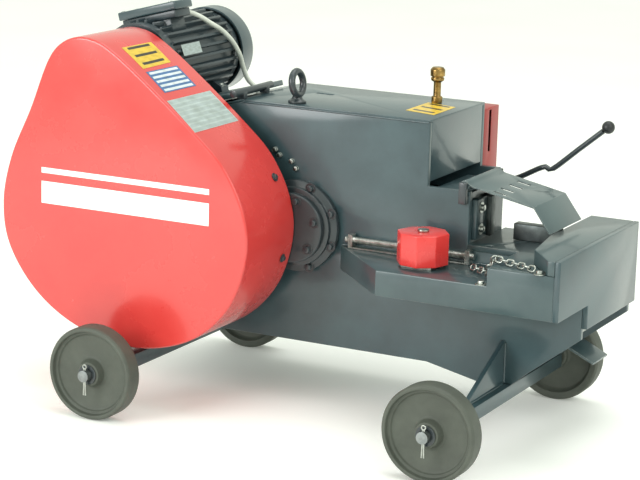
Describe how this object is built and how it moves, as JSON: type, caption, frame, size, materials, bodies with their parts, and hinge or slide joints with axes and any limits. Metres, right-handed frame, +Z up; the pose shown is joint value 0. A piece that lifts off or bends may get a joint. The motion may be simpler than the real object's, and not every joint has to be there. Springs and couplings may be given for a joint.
{
  "type": "electric rebar cutter",
  "caption": "Wheeled electric rebar cutter: red pear-shaped belt guard, tilted top motor, green welded body, sliding ram with blades, anvil, hinged flap guard and adjustable cam.",
  "frame": {"origin": "on the floor, under the middle of the bounding box", "axes": "+X towards the anvil end, -Y towards the belt guard side, +Z up"},
  "size_m": [1.265, 0.765, 0.841],
  "materials": {
    "body_paint": "semi-gloss grey-green enamel",
    "dark_paint": "semi-gloss dark green enamel",
    "guard_paint": "gloss red enamel",
    "wheel_iron": "matt grey painted casting",
    "bright_steel": "zinc-plated",
    "machined_steel": "machined",
    "cast_iron": "raw casting",
    "motor_paint": "semi-gloss",
    "brass": "turned",
    "belt_rubber": "matt",
    "black_plastic": "matt",
    "cable_jacket": "satin jacket"
  },
  "bodies": {
    "frame": {"side_plate_front": "body_paint", "side_plate_rear": "body_paint", "body_floor": "body_paint", "top_cover": "body_paint", "table_plate": "body_paint", "ledge": "body_paint", "anvil_block": "body_paint", "anvil_end_plate": "body_paint", "ram_guide": "body_paint", "motor_base_plate": "body_paint", "fan_cowl": "body_paint", "terminal_lid": "body_paint", "front_axle": "body_paint", "rear_axle": "body_paint", "crank_bearing_flange": "dark_paint", "crank_bearing_cap": "dark_paint", "crank_cover": "dark_paint", "pinion_cover": "dark_paint", "base_hinge_bar": "dark_paint", "guard_back_plate": "dark_paint", "flap_hinge_pin": "dark_paint", "eye_bolt": "dark_paint", "belt_guard": "guard_paint", "control_box": "guard_paint", "adjuster_rod": "bright_steel", "tension_screw": "bright_steel", "pedal_rod": "bright_steel", "keeper_chain": "bright_steel", "fixed_blade": "machined_steel", "motor_housing": "motor_paint", "terminal_box": "motor_paint", "breather": "brass", "drive_belt": "belt_rubber", "cable_gland": "black_plastic", "motor_cable": "cable_jacket"},
    "flywheel_shaft": {"flywheel": "cast_iron", "pinion_shaft": "machined_steel"},
    "rotor": {"motor_shaft": "machined_steel", "motor_pulley": "cast_iron", "cooling_fan": "black_plastic"},
    "intermediate": {"intermediate_shaft": "machined_steel", "intermediate_gear": "cast_iron"},
    "crank": {"crankshaft": "machined_steel", "crank_gear": "cast_iron"},
    "rod": {"connecting_rod": "cast_iron"},
    "ram_body": {"ram": "machined_steel", "moving_blade": "machined_steel", "blade_holder": "body_paint"},
    "wheel_fl": {"wheel_front_left": "wheel_iron"},
    "wheel_fr": {"wheel_front_right": "wheel_iron"},
    "wheel_rl": {"wheel_rear_left": "wheel_iron"},
    "wheel_rr": {"wheel_rear_right": "wheel_iron"},
    "flap": {"flap_guard": "body_paint"},
    "lever": {"hand_lever": "dark_paint", "lever_knob": "black_plastic"},
    "pedal": {"foot_pedal": "body_paint"},
    "carriage": {"cam_carriage": "bright_steel"},
    "cam": {"retaining_cam": "guard_paint"}
  },
  "joints": [
    {"name": "flywheel_spin", "type": "hinge", "parent": "frame", "child": "flywheel_shaft", "pos_m": [-0.329, 0, 0.43], "axis": [0, 1, 0], "continuous": true},
    {"name": "rotor_spin", "type": "hinge", "parent": "frame", "child": "rotor", "pos_m": [-0.43, 0, 0.701], "axis": [0, 1, 0], "continuous": true},
    {"name": "intermediate_spin", "type": "hinge", "parent": "frame", "child": "intermediate", "pos_m": [-0.18843, 0, 0.46122], "axis": [0, 1, 0], "continuous": true},
    {"name": "crank_spin", "type": "hinge", "parent": "frame", "child": "crank", "pos_m": [-0.035, 0, 0.388], "axis": [0, 1, 0], "continuous": true},
    {"name": "rod_swing", "type": "hinge", "parent": "crank", "child": "rod", "pos_m": [-0.057, 0.077, 0.388], "axis": [0, 1, 0], "continuous": true},
    {"name": "ram_slide", "type": "slide", "parent": "frame", "child": "ram_body", "axis": [1, 0, 0], "range_m": [0, 0.044]},
    {"name": "wheel_fl_spin", "type": "hinge", "parent": "frame", "child": "wheel_fl", "pos_m": [-0.325, -0.336, 0.1], "axis": [0, 1, 0], "continuous": true},
    {"name": "wheel_fr_spin", "type": "hinge", "parent": "frame", "child": "wheel_fr", "pos_m": [0.454, -0.336, 0.1], "axis": [0, 1, 0], "continuous": true},
    {"name": "wheel_rl_spin", "type": "hinge", "parent": "frame", "child": "wheel_rl", "pos_m": [-0.325, 0.336, 0.1], "axis": [0, 1, 0], "continuous": true},
    {"name": "wheel_rr_spin", "type": "hinge", "parent": "frame", "child": "wheel_rr", "pos_m": [0.454, 0.336, 0.1], "axis": [0, 1, 0], "continuous": true},
    {"name": "flap_swing", "type": "hinge", "parent": "frame", "child": "flap", "pos_m": [0.352, 0.1, 0.519], "axis": [0, -1, 0], "range_deg": [0, 110]},
    {"name": "lever_swing", "type": "hinge", "parent": "frame", "child": "lever", "pos_m": [0.29, 0.322, 0.462], "axis": [0, 1, 0], "range_deg": [0, 15], "stiffness_Nm_per_rad": 20, "springref_deg": -8.59},
    {"name": "pedal_swing", "type": "hinge", "parent": "frame", "child": "pedal", "pos_m": [0.54, 0.1415, 0.192], "axis": [0, 1, 0], "range_deg": [0, 12], "stiffness_Nm_per_rad": 30, "springref_deg": -5.73},
    {"name": "carriage_slide", "type": "slide", "parent": "frame", "child": "carriage", "axis": [1, 0, 0], "range_m": [-0.03, 0.03]},
    {"name": "cam_turn", "type": "hinge", "parent": "carriage", "child": "cam", "pos_m": [0.297, -0.062, 0.4], "axis": [0, 0, 1], "continuous": true}
  ],
  "couplings": [
    {"joint": "rotor_spin", "follows": "flywheel_spin", "ratio": 4.622},
    {"joint": "intermediate_spin", "follows": "flywheel_spin", "ratio": -0.33333},
    {"joint": "crank_spin", "follows": "flywheel_spin", "ratio": 0.11111},
    {"joint": "rod_swing", "follows": "flywheel_spin", "ratio": -0.11111}
  ]
}
